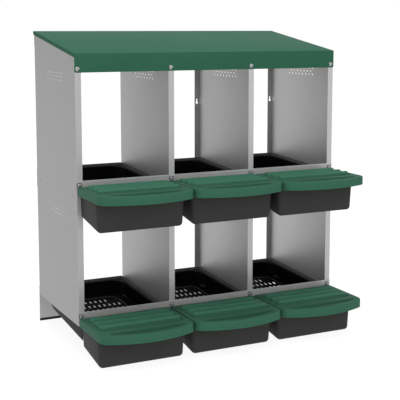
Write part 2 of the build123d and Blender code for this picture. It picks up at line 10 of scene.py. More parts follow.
import bmesh
import bpy
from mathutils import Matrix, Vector


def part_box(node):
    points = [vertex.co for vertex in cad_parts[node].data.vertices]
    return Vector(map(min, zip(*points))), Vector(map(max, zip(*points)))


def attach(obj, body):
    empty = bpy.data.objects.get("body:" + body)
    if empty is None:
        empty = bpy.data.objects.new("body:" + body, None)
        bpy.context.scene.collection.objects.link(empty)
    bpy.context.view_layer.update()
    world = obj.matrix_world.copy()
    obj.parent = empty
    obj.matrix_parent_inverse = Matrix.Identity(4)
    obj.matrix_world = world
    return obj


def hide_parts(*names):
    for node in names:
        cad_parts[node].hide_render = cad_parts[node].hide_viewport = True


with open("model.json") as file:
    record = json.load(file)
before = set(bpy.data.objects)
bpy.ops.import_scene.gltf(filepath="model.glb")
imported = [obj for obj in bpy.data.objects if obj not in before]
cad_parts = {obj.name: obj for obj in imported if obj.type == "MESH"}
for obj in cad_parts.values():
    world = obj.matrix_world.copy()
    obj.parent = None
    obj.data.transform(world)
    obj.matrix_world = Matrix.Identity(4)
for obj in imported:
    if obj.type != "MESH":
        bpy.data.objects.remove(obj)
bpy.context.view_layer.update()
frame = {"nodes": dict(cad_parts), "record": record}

# %% [markdown]
# The camera stands to the left of the box, about three metres away, and looks a little down.
# A long lens keeps the uprights nearly parallel. A small shift helps with that too, and it stays
# small because other views of the box use the same lens and shift.

# %% Camera
CAMERA_PLACE = (-1.4212, -2.9018, 1.0186)
CAMERA_TURN = 26.12  # degrees to the right of straight ahead
CAMERA_PITCH = 7.26  # degrees down
CAMERA_LENS = 87.63  # millimetres
CAMERA_SHIFT = -0.12  # share of the picture's width

bpy.ops.object.camera_add(
    location=CAMERA_PLACE,
    rotation=(math.radians(90 - CAMERA_PITCH), 0, math.radians(-CAMERA_TURN)),
)
camera = bpy.context.object
camera.data.lens = CAMERA_LENS
camera.data.shift_y = CAMERA_SHIFT
bpy.context.scene.camera = camera
print("camera at", CAMERA_PLACE)

# %% [markdown]
# Every nest has the same pan, tray and lid, so each moulding is modelled once in nest coordinates:
# x from the middle of the nest, y from the front of the panels, z from the foot of the tier, in metres.
# The places of the six nests are read from the frame, and nothing is fitted by eye.

# %% Nest places
panel_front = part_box("left_side_panel")[0].y
nests = {}
for tier in ("lower", "upper"):
    for column in ("left", "middle", "right"):
        low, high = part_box(f"egg_tray_{tier}_{column}")
        nests[tier, column] = Vector(((low.x + high.x) / 2, panel_front, low.z))
print("nests:", {key: tuple(round(c, 4) for c in place) for key, place in nests.items()})

# %% [markdown]
# Modelling by hand is a round of the same few moves: add a primitive, open it, select part of it by
# its place, change that part, and close it. These helpers give each move a name.
# A new primitive is added with nothing else selected, since an operator acts on all that is selected.

# %% Helpers for edit mode
SELECT_MODES = {"verts": "VERT", "edges": "EDGE", "faces": "FACE"}
NEAR = 1e-4  # two places closer than this are one
FACING = 0.9  # share of a normal along an axis, where the face looks that way
LARGE = 0.1  # square metres, reached by the face of a whole roof or pan only


def select_only(piece, others=()):
    """Select a piece, perhaps with others, and make it the active one."""
    bpy.ops.object.select_all(action="DESELECT")
    for each in (*others, piece):
        each.select_set(True)
    bpy.context.view_layer.objects.active = piece


def settle():
    """Put the place and turn of the selected piece in its mesh."""
    bpy.ops.object.transform_apply(location=True, rotation=True, scale=True)


def begin(name, add, **settings):
    """Add a primitive, put its place in its mesh and open it in edit mode."""
    bpy.ops.object.select_all(action="DESELECT")
    add(**settings)
    piece = bpy.context.object
    piece.name = name
    settle()
    bpy.ops.object.mode_set(mode="EDIT")
    return piece


def pick(kind, test):
    """Select the shown verts, edges or faces that pass a test, and return how many there are."""
    bpy.ops.mesh.select_mode(type=SELECT_MODES[kind])
    bpy.ops.mesh.select_all(action="DESELECT")
    mesh = bpy.context.object.data
    sketch = bmesh.from_edit_mesh(mesh)
    chosen = [part for part in getattr(sketch, kind) if not part.hide and test(part)]
    for part in chosen:
        part.select_set(True)
    sketch.select_flush_mode()
    bmesh.update_edit_mesh(mesh)
    return len(chosen)


def mark(name, test, amount=1.0):
    """Give points of the mesh in edit mode that pass a test an amount of a named attribute."""
    bpy.ops.mesh.reveal(select=False)
    attributes = bpy.context.object.data.attributes
    if name not in attributes:
        bpy.ops.geometry.attribute_add(name=name, domain="POINT", data_type="FLOAT")
    attributes.active = attributes[name]
    pick("verts", test)
    bpy.ops.mesh.attribute_set(value_float=amount)


def face_outwards():
    """Turn every face of the mesh in edit mode to the outside and go back to object mode."""
    bpy.ops.mesh.reveal(select=False)
    bpy.ops.mesh.select_all(action="SELECT")
    bpy.ops.mesh.normals_make_consistent(inside=False)
    bpy.ops.object.mode_set(mode="OBJECT")


def bevel(width, steps, kind="EDGES"):
    """Round the selected edges, or the corners at selected points."""
    bpy.ops.mesh.bevel(offset=width, segments=steps, affect=kind)


def cut_all(point, normal, drop=False):
    """Cut all that is shown with a plane, and perhaps drop what lies beyond it."""
    bpy.ops.mesh.select_all(action="SELECT")
    bpy.ops.mesh.bisect(plane_co=point, plane_no=normal, clear_outer=drop)


def move_point(start, goal):
    """Move the point of the mesh that lies at one place to another."""
    start = Vector(start)
    pick("verts", lambda vert: (vert.co - start).length < NEAR)
    bpy.ops.transform.translate(value=Vector(goal) - start)


def tell(what):
    """Print how many faces the active mesh has by now."""
    bpy.context.object.update_from_editmode()
    print(what, len(bpy.context.object.data.polygons), "faces")


print("edit mode helpers ready")

# %% [markdown]
# A few more moves act on whole pieces: walls, cuts, copies and joins. Modifiers are applied at once, so that
# what follows works on the finished mesh. Blocks are cubes whose corners are put in place one by one.

# %% Helpers for whole pieces
UPRIGHT = 0.02  # an edge that rises more than this stands
SHARP_FROM = 60  # degrees at an edge that a mould rounds
SMOOTH_BELOW = 35  # degrees at an edge inside a round form
EASES = {"wall": 0.0006, "block": 0.0005, "rod": 0.0004, "washer": 0.0002}  # widths of eased edges


def modify(piece, kind, **settings):
    """Give a piece a modifier and apply it."""
    modifier = piece.modifiers.new(kind.lower(), kind)
    for name, value in settings.items():
        setattr(modifier, name, value)
    bpy.context.view_layer.objects.active = piece
    bpy.ops.object.modifier_apply(modifier=modifier.name)


def thicken(piece, wall, offset=-1):
    """Give a sheet its wall, on the inside or, with offset 1, on the outside."""
    modify(piece, "SOLIDIFY", thickness=wall, offset=offset, use_even_offset=True)


def carve(piece, tool):
    """Cut the form of a tool out of a piece and drop the tool."""
    modify(piece, "BOOLEAN", operation="DIFFERENCE", object=tool, solver="EXACT")
    bpy.data.objects.remove(tool)


def join(piece, others):
    """Join other pieces into one."""
    select_only(piece, others)
    bpy.ops.object.join()


def copy_of(pattern):
    """A copy of a piece with a mesh of its own, selected alone."""
    select_only(pattern)
    bpy.ops.object.duplicate()
    return bpy.context.object


def smooth(piece, degrees=SMOOTH_BELOW):
    """Shade a piece smooth, apart from edges that are sharper than an angle."""
    select_only(piece)
    bpy.ops.object.shade_smooth_by_angle(angle=math.radians(degrees))


def ease_edges(piece, width):
    """Round the sharp edges of a piece a little, as a mould or a die does."""
    modify(
        piece,
        "BEVEL",
        width=width,
        segments=2,
        limit_method="ANGLE",
        angle_limit=math.radians(SHARP_FROM),
        use_clamp_overlap=True,
    )


def corner_block(name, corner):
    """A cube with each corner moved to the place that corner(side, end, level) gives, each -1 or 1."""
    piece = begin(name, bpy.ops.mesh.primitive_cube_add, size=2)
    for side in (-1, 1):
        for end in (-1, 1):
            for level in (-1, 1):
                move_point((side, end, level), corner(side, end, level))
    return piece


def box(name, low, high, ease):
    """A block between two corners with eased edges."""
    spans = {axis: {-1: low[axis], 1: high[axis]} for axis in range(3)}
    piece = corner_block(name, lambda side, end, level: (spans[0][side], spans[1][end], spans[2][level]))
    face_outwards()
    if ease:
        ease_edges(piece, ease)
    return piece


def upright(edge, test):
    """Whether an edge stands and the places of both its ends pass a test."""
    rise = abs(edge.verts[0].co.z - edge.verts[1].co.z)
    return rise > UPRIGHT and all(test(vert.co) for vert in edge.verts)


def slope_at(height, degrees, y):
    """Height over y of a plane that rises to the back by an angle."""
    return height + y * math.tan(math.radians(degrees))


print("helpers for whole pieces ready")

# %% [markdown]
# A lid is one green moulding: a plate with a bowed front, a skirt around three sides, a sunk field with
# three rounded ridges across, and a crescent hollow in front of it. Its front is part of a large circle,
# so a disc is cut down to it with straight cuts, and a few more round the corners. The bevel of the upper
# edge then follows the outline by itself.

# %% Lid: outline and skirt
LID_HALF = 0.153  # half its width
LID_REAR = -0.0075
LID_REACH = 0.237  # of the bowed front, in the middle
LID_BOW = 0.322  # radius of the front
BOW_STEPS = 720
LID_CORNER = 0.032
LID_SKIRT = 0.027
LID_EDGE = 0.0040
CORNER_CUTS = 18

bow_middle = LID_BOW - LID_REACH
lid = begin(
    "lid",
    bpy.ops.mesh.primitive_circle_add,
    vertices=BOW_STEPS,
    radius=LID_BOW,
    fill_type="NGON",
    location=(0, bow_middle, 0),
)
cut_all((0, LID_REAR, 0), (0, 1, 0), drop=True)
corner_x = LID_HALF - LID_CORNER
corner_drop = math.sqrt((LID_BOW - LID_CORNER) ** 2 - corner_x**2)
corner_sweep = math.atan2(corner_drop, corner_x)
for step in range(CORNER_CUTS):
    turn = corner_sweep * step / CORNER_CUTS
    for side in (-1, 1):
        outward = Vector((side * math.cos(turn), -math.sin(turn), 0))
        corner = Vector((side * corner_x, bow_middle - corner_drop, 0))
        cut_all(corner + LID_CORNER * outward, outward, drop=True)

pick("edges", lambda edge: min(vert.co.y for vert in edge.verts) < LID_REAR - NEAR)
bpy.ops.mesh.extrude_edges_move(TRANSFORM_OT_translate={"value": (0, 0, -LID_SKIRT)})
pick("edges", lambda edge: len(edge.link_faces) == 2 and all(abs(vert.co.z) < NEAR for vert in edge.verts))
bevel(LID_EDGE, steps=4)
tell("lid outline:")

# %% [markdown]
# An inset leaves the flat border, and two straight cuts across the plate part the field from the crescent,
# whose ends are drawn in. One more inset sinks both, and a bevel eases their steps.

# %% Lid: field and crescent
LID_BORDER = 0.016
FIELD_REAR = -0.0225
FIELD_FRONT = -0.157
FIELD_CORNER = 0.014
FIELD_CORNER_CUTS = (30, 60)  # degrees
FIELD_STEP = 0.002  # how far the step leans
FIELD_SINK = 0.004
FIELD_EASE = 0.0008
FIELD_AREA = 0.02  # square metres, at least
STEP_TILT = 0.6  # upward share of a normal, less than this on the step
LEVEL_TILT = 0.99  # and more than this on a flat face
CRESCENT_REAR = -0.185
CRESCENT_AREA = 0.003
CRESCENT_END = 0.1215  # what reaches further out is drawn in to the corners
CRESCENT_CORNERS = ((0.1225, -0.185), (0.1240, -0.1947))  # rear and front, on the right


def is_field(face):
    """Whether a face is the whole plate, or later the field in it."""
    return face.normal.z > FACING and face.calc_area() > FIELD_AREA


def is_crescent(face):
    """Whether a face is the part of the plate that becomes the crescent."""
    in_front = face.calc_center_median().y < CRESCENT_REAR
    return in_front and face.normal.z > FACING and face.calc_area() > CRESCENT_AREA


def pick_plate():
    """Select the large face of the plate."""
    return pick("faces", is_field)


def on_step(edge):
    """Whether an edge lies between a flat face and the step."""
    tilts = sorted(face.normal.z for face in edge.link_faces)
    return len(tilts) == 2 and tilts[0] < STEP_TILT and tilts[1] > LEVEL_TILT


border = LID_BORDER - LID_EDGE
pick_plate()
bpy.ops.mesh.inset(thickness=border, use_boundary=True)
pick("verts", lambda vert: abs(vert.co.y - LID_REAR + border) < NEAR)
bpy.ops.transform.translate(value=(0, FIELD_REAR - LID_REAR + border, 0))
for cut_y in (CRESCENT_REAR, FIELD_FRONT):
    pick_plate()
    bpy.ops.mesh.bisect(plane_co=(0, cut_y, 0), plane_no=(0, 1, 0))
for side in (-1, 1):
    corner = Vector((side * (LID_HALF - LID_BORDER - FIELD_CORNER), FIELD_FRONT + FIELD_CORNER, 0))
    for turn in FIELD_CORNER_CUTS:
        outward = Vector((side * math.cos(math.radians(turn)), -math.sin(math.radians(turn)), 0))
        pick_plate()
        bpy.ops.mesh.bisect(plane_co=corner + FIELD_CORNER * outward, plane_no=outward)
    for x, y in CRESCENT_CORNERS:
        is_rear = y == CRESCENT_REAR
        pick(
            "verts",
            lambda vert: vert.co.x * side > CRESCENT_END
            and (vert.co.y > CRESCENT_REAR - NEAR) == is_rear
            and any(is_crescent(face) for face in vert.link_faces),
        )
        bpy.ops.mesh.merge(type="CENTER")
        end = next(vert.co.copy() for vert in bmesh.from_edit_mesh(lid.data).verts if vert.select)
        bpy.ops.transform.translate(value=Vector((side * x, y, 0)) - end)
pick("faces", lambda face: is_field(face) or is_crescent(face))
bpy.ops.mesh.inset(thickness=FIELD_STEP, depth=-FIELD_SINK)
pick("edges", on_step)
bevel(FIELD_EASE, steps=2)
tell("lid plate:")

# %% [markdown]
# The ridges are pulled up out of the field, as with proportional editing by hand: a line of points is raised
# and the points around it follow less and less. The inverse square falloff is a parabola, which is the round
# back of a ridge. What lies beyond a ridge's end is hidden while the line is raised, so the end stays blunt.

# %% Lid: ridges
RIDGES = (0.044, 0.086, 0.128)  # from the panels' front
RIDGE_HEIGHT = 0.013  # over the field
RIDGE_HALF = 0.0205
RIDGE_ROWS = 8  # cuts on either side of a ridge
RIDGE_ENDS = ((0.1335, 0.35), (0.1315, 0.45), (0.1290, 0.20))  # reach, and share of the height up to there
PLATE_CUT = 0.0215
PLATE_CUTS = 5  # on either side of the middle

rows = [
    RIDGE_HALF * step / RIDGE_ROWS - ridge
    for ridge in RIDGES
    for step in range(-RIDGE_ROWS, RIDGE_ROWS + 1)
]
columns = [PLATE_CUT * step for step in range(-PLATE_CUTS, PLATE_CUTS + 1)]
columns += [side * reach for reach, share in RIDGE_ENDS for side in (-1, 1)]
pick_plate()
bpy.ops.mesh.hide(unselected=True)
for across in rows:
    cut_all((0, across, 0), (0, 1, 0))
for along in columns:
    cut_all((along, 0, 0), (1, 0, 0))
for reach, share in RIDGE_ENDS:
    pick("verts", lambda vert: abs(vert.co.x) > reach + NEAR)
    bpy.ops.mesh.hide(unselected=False)
    for ridge in RIDGES:
        pick("verts", lambda vert: abs(vert.co.y + ridge) < NEAR)
        bpy.ops.transform.translate(
            value=(0, 0, share * RIDGE_HEIGHT),
            use_proportional_edit=True,
            proportional_edit_falloff="INVERSE_SQUARE",
            proportional_size=RIDGE_HALF,
        )
tell("lid with ridges:")

# %% [markdown]
# The green is painted darker on the border, at the front foot of each ridge and in the hollows: painted
# shade where light hardly reaches. A mark on the points says how much, and the finish reads it later.

# %% Lid: painted shade
GROOVE_BELOW = -0.0033  # height of the deepest parts
SLOPE_FROM = 0.6  # share of a slope's run that stays as it is
SLOPE_SHADES = (0.25, 0.3, 0.6)  # painted shade at the foot of each ridge
# painted shade on the border and skirt, in the grooves and in the crescent
SHADES = {"border": 0.38, "groove": 0.7, "crescent": 0.75}


def on_field(vert):
    """Whether a point belongs to the ridged field."""
    between = FIELD_FRONT + NEAR < vert.co.y < FIELD_REAR - NEAR
    return between and abs(vert.co.x) < LID_HALF - LID_BORDER - NEAR


def in_crescent(vert):
    """Whether a point lies in the crescent hollow."""
    from_middle = math.hypot(vert.co.x, vert.co.y - bow_middle)
    within = from_middle < LID_BOW - LID_BORDER + NEAR
    return within and vert.co.y < CRESCENT_REAR + NEAR and vert.co.z < -NEAR


def at_foot(vert, ridge):
    """Whether a point lies low on the front slope of a ridge."""
    return on_field(vert) and SLOPE_FROM < (-vert.co.y - ridge) / RIDGE_HALF < 1


# Painted shade: these marks darken the green on the border, at the ridges' feet, in the grooves and in the
# crescent.
mark("groove", lambda vert: True, SHADES["border"])
mark("groove", on_field, 0.0)
for ridge, shade in zip(RIDGES, SLOPE_SHADES):
    mark("groove", lambda vert: at_foot(vert, ridge), shade)
mark("groove", lambda vert: on_field(vert) and vert.co.z < GROOVE_BELOW, SHADES["groove"])
mark("groove", in_crescent, SHADES["crescent"])
print("darker places:", ", ".join(SHADES))

# %% [markdown]
# Solidify gives the lid its wall, hollow under the ridges like the real moulding. Two hinge bosses inside
# the skirt have blind bores for the stubs of the tray.

# %% Lid: wall and hinge bosses
LID_WALL = 0.0025
LID_TOP = 0.1205
HINGE_REACH = 0.022
HINGE_TOP = 0.1112
BOSS_RADIUS = 0.0065
BOSS_SPAN = (0.1445, 0.15175)
BORE_RADIUS = 0.00405
BORE_DEPTH = 0.00695
ROUND_STEPS = 48


def lying_rod(name, radius, span, y, z):
    """A cylinder along x, left open in edit mode."""
    return begin(
        name,
        bpy.ops.mesh.primitive_cylinder_add,
        vertices=ROUND_STEPS,
        radius=radius,
        depth=span[1] - span[0],
        location=((span[0] + span[1]) / 2, y, z),
        rotation=(0, math.radians(90), 0),
    )


face_outwards()
thicken(lid, LID_WALL)
ease_edges(lid, EASES["wall"])
lid.location.z = LID_TOP
bosses = []
for side in (-1, 1):
    span = sorted((side * BOSS_SPAN[0], side * BOSS_SPAN[1]))
    boss = lying_rod("boss", BOSS_RADIUS, span, -HINGE_REACH, HINGE_TOP)
    pick("faces", lambda face: face.normal.x * side < -FACING)
    bpy.ops.mesh.inset(thickness=BOSS_RADIUS - BORE_RADIUS)
    bpy.ops.mesh.extrude_region_move(TRANSFORM_OT_translate={"value": (side * BORE_DEPTH, 0, 0)})
    face_outwards()
    bosses.append(boss)
join(lid, bosses)
settle()
smooth(lid)
tell("lid:")

# %% [markdown]
# An egg tray is a dark tub, open at the back over a low sill, where the eggs roll in. It starts as a block
# with tapered walls and a floor that falls to the front. Bevels round the front corners and the floor's
# edge, the top face and the upper part of the back are removed, and Solidify gives the wall. At the back
# the side walls are notched, so that the lid can turn there.

# %% Egg tray: tub
TRAY_WALL = 0.0025
TRAY_HALF = {1: 0.1435, -1: 0.1395}  # at the top and at the floor
TRAY_FRONT = {1: -0.150, -1: -0.145}
TRAY_BACK = -0.0011
TRAY_TOP = 0.1135
TRAY_FLOOR = 0.02107
TRAY_FLOOR_SLOPE = 9.0
TRAY_CORNER = 0.014
TRAY_FOOT_ROUND = 0.012
TRAY_SILL = 0.0515  # top of the low wall under the pan's front edge
NOTCH_FOOT = 0.0927
NOTCH_END = (0.2, 0.02, 0.2)  # past the tray


def tray_corner(side, end, level):
    """Corners of the tub, before they are rounded."""
    y = TRAY_FRONT[level] if end < 0 else TRAY_BACK
    z = TRAY_TOP if level > 0 else slope_at(TRAY_FLOOR, TRAY_FLOOR_SLOPE, y)
    return side * TRAY_HALF[level], y, z


def around_tray_floor(edge):
    """Whether an edge bounds the tub's floor, apart from the back."""
    low = all(vert.co.z < TRAY_FLOOR + NEAR for vert in edge.verts)
    return low and min(vert.co.y for vert in edge.verts) < TRAY_BACK - NEAR


def is_tray_opening(face):
    """Whether a face is the tub's top, or its back over the sill."""
    over_sill = face.calc_center_median().z > TRAY_SILL
    return face.normal.z > FACING or (face.normal.y > FACING and over_sill)


tray = corner_block("tray", tray_corner)
pick("edges", lambda edge: upright(edge, lambda place: place.y < TRAY_FRONT[-1] + NEAR))
bevel(TRAY_CORNER, steps=8)
pick("edges", around_tray_floor)
bevel(TRAY_FOOT_ROUND, steps=6)
pick("faces", lambda face: face.normal.y > FACING)
bpy.ops.mesh.bisect(plane_co=(0, 0, TRAY_SILL), plane_no=(0, 0, 1))
pick("faces", is_tray_opening)
bpy.ops.mesh.delete(type="FACE")
face_outwards()
thicken(tray, TRAY_WALL)

notch = box("notch", (-NOTCH_END[0], -HINGE_REACH, NOTCH_FOOT), NOTCH_END, 0)
carve(tray, notch)
ease_edges(tray, EASES["wall"])
tell("tray tub:")

# %% [markdown]
# The tray hangs from the front rail by two hooks on flat ears, and carries the lid on two stubs that stand
# out of rounded lugs. They are small blocks and rods with eased edges, joined to the tub.

# %% Egg tray: ears, hooks and hinge stubs
EAR_X = (0.1135, 0.14225)
EAR_Y = (-0.0040, -0.0011)
EAR_Z = (0.0877, 0.114)
HOOK_X = (0.116, 0.128)
HOOK_TIP_Y = (0.0004, 0.0024)
HOOK_Z = (0.110, 0.114)
HOOK_DROP = 0.007
LUG_X = (0.140, 0.1435)
LUG_RADIUS = 0.006
LUG_FOOT = 0.0892
STUB_RADIUS = 0.0040
STUB_END = 0.151

fittings = []
for side in (-1, 1):
    for xs, ys, zs in (
        (EAR_X, EAR_Y, EAR_Z),
        (HOOK_X, (EAR_Y[0], HOOK_TIP_Y[1]), HOOK_Z),
        (HOOK_X, HOOK_TIP_Y, (HOOK_Z[0] - HOOK_DROP, HOOK_Z[1])),
        (LUG_X, (-HINGE_REACH - LUG_RADIUS, -HINGE_REACH + LUG_RADIUS), (LUG_FOOT, HINGE_TOP)),
    ):
        across = sorted((side * xs[0], side * xs[1]))
        corners = zip(across, ys, zs)
        fittings.append(box("fitting", *corners, EASES["block"]))
    for radius, end in ((LUG_RADIUS, LUG_X[1]), (STUB_RADIUS, STUB_END)):
        across = sorted((side * LUG_X[0], side * end))
        rod = lying_rod("fitting", radius, across, -HINGE_REACH, HINGE_TOP)
        face_outwards()
        ease_edges(rod, EASES["rod"])
        fittings.append(rod)
join(tray, fittings)
smooth(tray)
tell("tray:")

# %% [markdown]
# A nest pan is a black basin whose floor falls to the front, so that eggs roll out under the rail. The
# basin is modelled as one sheet from the inside: a tapered block with rounded back corners, opened at the
# top and front. A second outline becomes the rim, and the two are bridged like two rings of a lampshade.

# %% Nest pan: basin
PAN_WALL = 0.0018
PAN_FRONT = 0.004
BASIN_HALF = {1: 0.138, -1: 0.132}  # at the rim and at the floor
BASIN_BACK = {1: 0.394, -1: 0.350}
PAN_RIM = 0.104
PAN_RIM_SLOPE = 2.25
PAN_FLOOR = 0.0487
PAN_FLOOR_SLOPE = 4.7
BASIN_CORNER = 0.042
BASIN_CORNER_STEPS = 10
BASIN_FLOOR_ROUND = 0.006
PLATFORM_HALF = 0.104
PLATFORM_GAP = 0.006  # from the back wall's foot
PLATFORM_RISE = 0.003
PLATFORM_BAND = 0.008  # band along its edge, over which the painted highlight fades
# painted highlight along the platform's upper edge
PLATFORM_PAINTED_HIGHLIGHT = 0.6


def behind_front(edge):
    """Whether an edge reaches back from the pan's front."""
    return max(vert.co.y for vert in edge.verts) > PAN_FRONT + NEAR


def around_basin_floor(edge):
    """Whether an edge of the block bounds its floor, apart from the front."""
    by_floor = len(edge.link_faces) == 2 and any(face.normal.z < -FACING for face in edge.link_faces)
    return by_floor and behind_front(edge)


def basin_corner(side, end, level):
    """Corners of the basin's inside, before they are rounded."""
    y = PAN_FRONT if end < 0 else BASIN_BACK[level]
    z = slope_at(PAN_RIM, PAN_RIM_SLOPE, y) if level > 0 else slope_at(PAN_FLOOR, PAN_FLOOR_SLOPE, y)
    return side * BASIN_HALF[level], y, z


pan = corner_block("pan", basin_corner)
pick("edges", lambda edge: upright(edge, lambda place: place.y > BASIN_BACK[-1] - NEAR))
bevel(BASIN_CORNER, steps=BASIN_CORNER_STEPS)
pick("edges", around_basin_floor)
bevel(BASIN_FLOOR_ROUND, steps=4)
pick("faces", lambda face: face.normal.z > FACING or face.normal.y < -FACING)
bpy.ops.mesh.delete(type="FACE")


def on_platform_edge(vert):
    """Whether a point lies on the upper edge of the platform's step."""
    over = vert.co.z - slope_at(PAN_FLOOR, PAN_FLOOR_SLOPE, vert.co.y)
    by_step = any(abs(face.normal.z) < FACING for face in vert.link_faces)
    return by_step and abs(over - PLATFORM_RISE) < NEAR


pick("faces", lambda face: abs(face.normal.z) > FACING and len(face.verts) > BASIN_CORNER_STEPS)
bpy.ops.mesh.inset(thickness=PLATFORM_GAP, use_boundary=False)
across = max(abs(vert.co.x) for vert in bmesh.from_edit_mesh(pan.data).verts if vert.select)
bpy.ops.transform.resize(value=(PLATFORM_HALF / across, 1, 1), center_override=(0, 0, 0))
bpy.ops.mesh.inset(thickness=PLATFORM_RISE, use_boundary=False)
bpy.ops.transform.translate(value=(0, 0, PLATFORM_RISE))
bpy.ops.mesh.inset(thickness=PLATFORM_BAND, use_boundary=False)
# A painted highlight along the upper edge of the platform's step.
mark("painted_light_and_grey", on_platform_edge, PLATFORM_PAINTED_HIGHLIGHT)
tell("basin:")

# %% [markdown]
# The rim's outer edge turns up and keeps litter in. Its outline is a plane with two rounded corners, and
# only the edges of that plane are kept for the bridge. The folds get a small round before Solidify.

# %% Nest pan: rim
RIM_HALF = 0.1495
RIM_BACK = 0.4055
RIM_CORNER = 0.0075
RIM_UPTURN = 0.009
RIM_ROUND = 0.0015
RIM_FOLD_FROM = 30  # degrees
RIM_PAINTED_LIGHT = 0.22  # painted light: how pale the flat part is painted, and the upturn is 1


def on_rim(vert):
    """Whether a point lies in the sloping plane of the rim."""
    return abs(vert.co.z - slope_at(PAN_RIM, PAN_RIM_SLOPE, vert.co.y)) < NEAR


def at_rim_edge(vert):
    """Whether a point of the rim's plane lies on its outer outline."""
    return on_rim(vert) and (abs(vert.co.x) > RIM_HALF - RIM_CORNER or vert.co.y > RIM_BACK - RIM_CORNER)


def is_rim_fold(edge):
    """Whether an edge lies where the rim turns down or up."""
    in_plane = len(edge.link_faces) == 2 and all(map(on_rim, edge.verts))
    return in_plane and edge.calc_face_angle() > math.radians(RIM_FOLD_FROM)


bpy.ops.mesh.primitive_plane_add(size=2, location=(0, 0, 0))
for side in (-1, 1):
    for end, y in ((-1, PAN_FRONT), (1, RIM_BACK)):
        move_point((side, end, 0), (side * RIM_HALF, y, slope_at(PAN_RIM, PAN_RIM_SLOPE, y)))
pick("verts", lambda vert: vert.co.y > RIM_BACK - NEAR)
bevel(RIM_CORNER, steps=BASIN_CORNER_STEPS, kind="VERTICES")
pick("faces", lambda face: len(face.verts) > BASIN_CORNER_STEPS and face.calc_area() > LARGE)
bpy.ops.mesh.delete(type="ONLY_FACE")
pick("edges", lambda edge: not edge.link_faces and not behind_front(edge))
bpy.ops.mesh.delete(type="EDGE")
pick("edges", lambda edge: len(edge.link_faces) < 2 and all(map(on_rim, edge.verts)))
bpy.ops.mesh.bridge_edge_loops()
pick(
    "edges",
    lambda edge: len(edge.link_faces) == 1 and all(map(at_rim_edge, edge.verts)) and behind_front(edge),
)
bpy.ops.mesh.extrude_edges_move(TRANSFORM_OT_translate={"value": (0, 0, RIM_UPTURN)})
pick("edges", is_rim_fold)
bevel(RIM_ROUND, steps=3)
# Painted light: the flat rim gets some of the paler grey and the upturn all of it, for the light that falls
# on them.
mark("painted_light_and_grey", on_rim, RIM_PAINTED_LIGHT)
mark("painted_light_and_grey", lambda vert: vert.co.z > slope_at(PAN_RIM, PAN_RIM_SLOPE, vert.co.y) + NEAR)
tell("pan sheet:")

# %% [markdown]
# The basin's faces must point down and outwards before the wall is added, so that the inside keeps its
# size. Drain slots are cut through the floor by one set of rounded pegs: one peg is stretched from a small
# cone, so that a slot widens downwards, and Array copies it into rows.

# %% Nest pan: wall and drain slots
SLOT_WIDTH = 0.0056
SLOT_LENGTH = 0.022
SLOT_PITCH = 0.018
SLOT_ROW_PITCH = 0.041
SLOT_BACK_ROW = 0.301
SLOT_ROWS = ((6, 1, 0), (10, 4, 1))  # slots across, rows, and the first row from the back
SLOT_DRAFT = 38.0  # degrees by which they widen downwards
PEG_REACH = (-0.006, 0.0025)  # under and over the floor
PEG_STEPS = 16

face_outwards()
bpy.ops.object.mode_set(mode="EDIT")
floor_down = pick("faces", lambda face: face.normal.z < -FACING and face.calc_center_median().z < PAN_RIM)
if not floor_down:
    bpy.ops.mesh.select_all(action="SELECT")
    bpy.ops.mesh.flip_normals()
bpy.ops.object.mode_set(mode="OBJECT")
thicken(pan, PAN_WALL, offset=1)

pegs = []
peg_radii = [SLOT_WIDTH / 2 - reach * math.tan(math.radians(SLOT_DRAFT)) for reach in PEG_REACH]
row_fall = slope_at(0, PAN_FLOOR_SLOPE, -SLOT_ROW_PITCH)
for across, deep, first in SLOT_ROWS:
    peg_y = SLOT_BACK_ROW - first * SLOT_ROW_PITCH
    peg_z = slope_at(PAN_FLOOR, PAN_FLOOR_SLOPE, peg_y) + PLATFORM_RISE + sum(PEG_REACH) / 2
    peg = begin(
        "peg",
        bpy.ops.mesh.primitive_cone_add,
        vertices=PEG_STEPS,
        radius1=peg_radii[0],
        radius2=peg_radii[1],
        depth=PEG_REACH[1] - PEG_REACH[0],
        location=(-SLOT_PITCH * (across - 1) / 2, peg_y, peg_z),
        rotation=(0, 0, math.pi / PEG_STEPS),
    )
    for way in (-1, 1):
        pick("verts", lambda vert: (vert.co.y - peg_y) * way > 0)
        bpy.ops.transform.translate(value=(0, way * (SLOT_LENGTH - SLOT_WIDTH) / 2, 0))
    face_outwards()
    for count, step in ((across, (SLOT_PITCH, 0, 0)), (deep, (0, -SLOT_ROW_PITCH, row_fall))):
        spacing = {"use_relative_offset": False, "use_constant_offset": True}
        modify(peg, "ARRAY", count=count, constant_offset_displace=step, **spacing)
    pegs.append(peg)
join(pegs[0], pegs[1:])
carve(pan, pegs[0])
tell("slotted pan:")

# %% [markdown]
# Under the rim a plain skirt hides the basin from the side, and four feet stand on the ledges of the panels.
# The skirts are dark grey rather than black, which the same mark as on the rim tells the finish.

# %% Nest pan: side skirts and feet
SKIRT_X = (0.13925, 0.14175)
SKIRT_FOOT = 0.0462
SKIRT_BACK = {1: 0.394, -1: 0.304}
SKIRT_GREY = 0.34
FOOT_X = (0.1455, 0.1485)
FOOT_SPANS = ((0.030, 0.082), (0.3325, 0.3845))
LEDGE_TOP = 0.096


def under_rim(y):
    """Middle of the rim's thickness over y."""
    return slope_at(PAN_RIM, PAN_RIM_SLOPE, y) - PAN_WALL / 2


def skirt_corner(side, end, level):
    """Corners of a side skirt on the right of the nest."""
    y = PAN_FRONT if end < 0 else SKIRT_BACK[level]
    z = under_rim(y) if level > 0 else slope_at(SKIRT_FOOT, PAN_FLOOR_SLOPE, y)
    return SKIRT_X[side > 0], y, z


def foot_corner(span):
    """Corners of a foot on the right of the nest, for corner_block."""
    def corner(side, end, level):
        y = span[end > 0]
        return FOOT_X[side > 0], y, under_rim(y) if level > 0 else LEDGE_TOP
    return corner


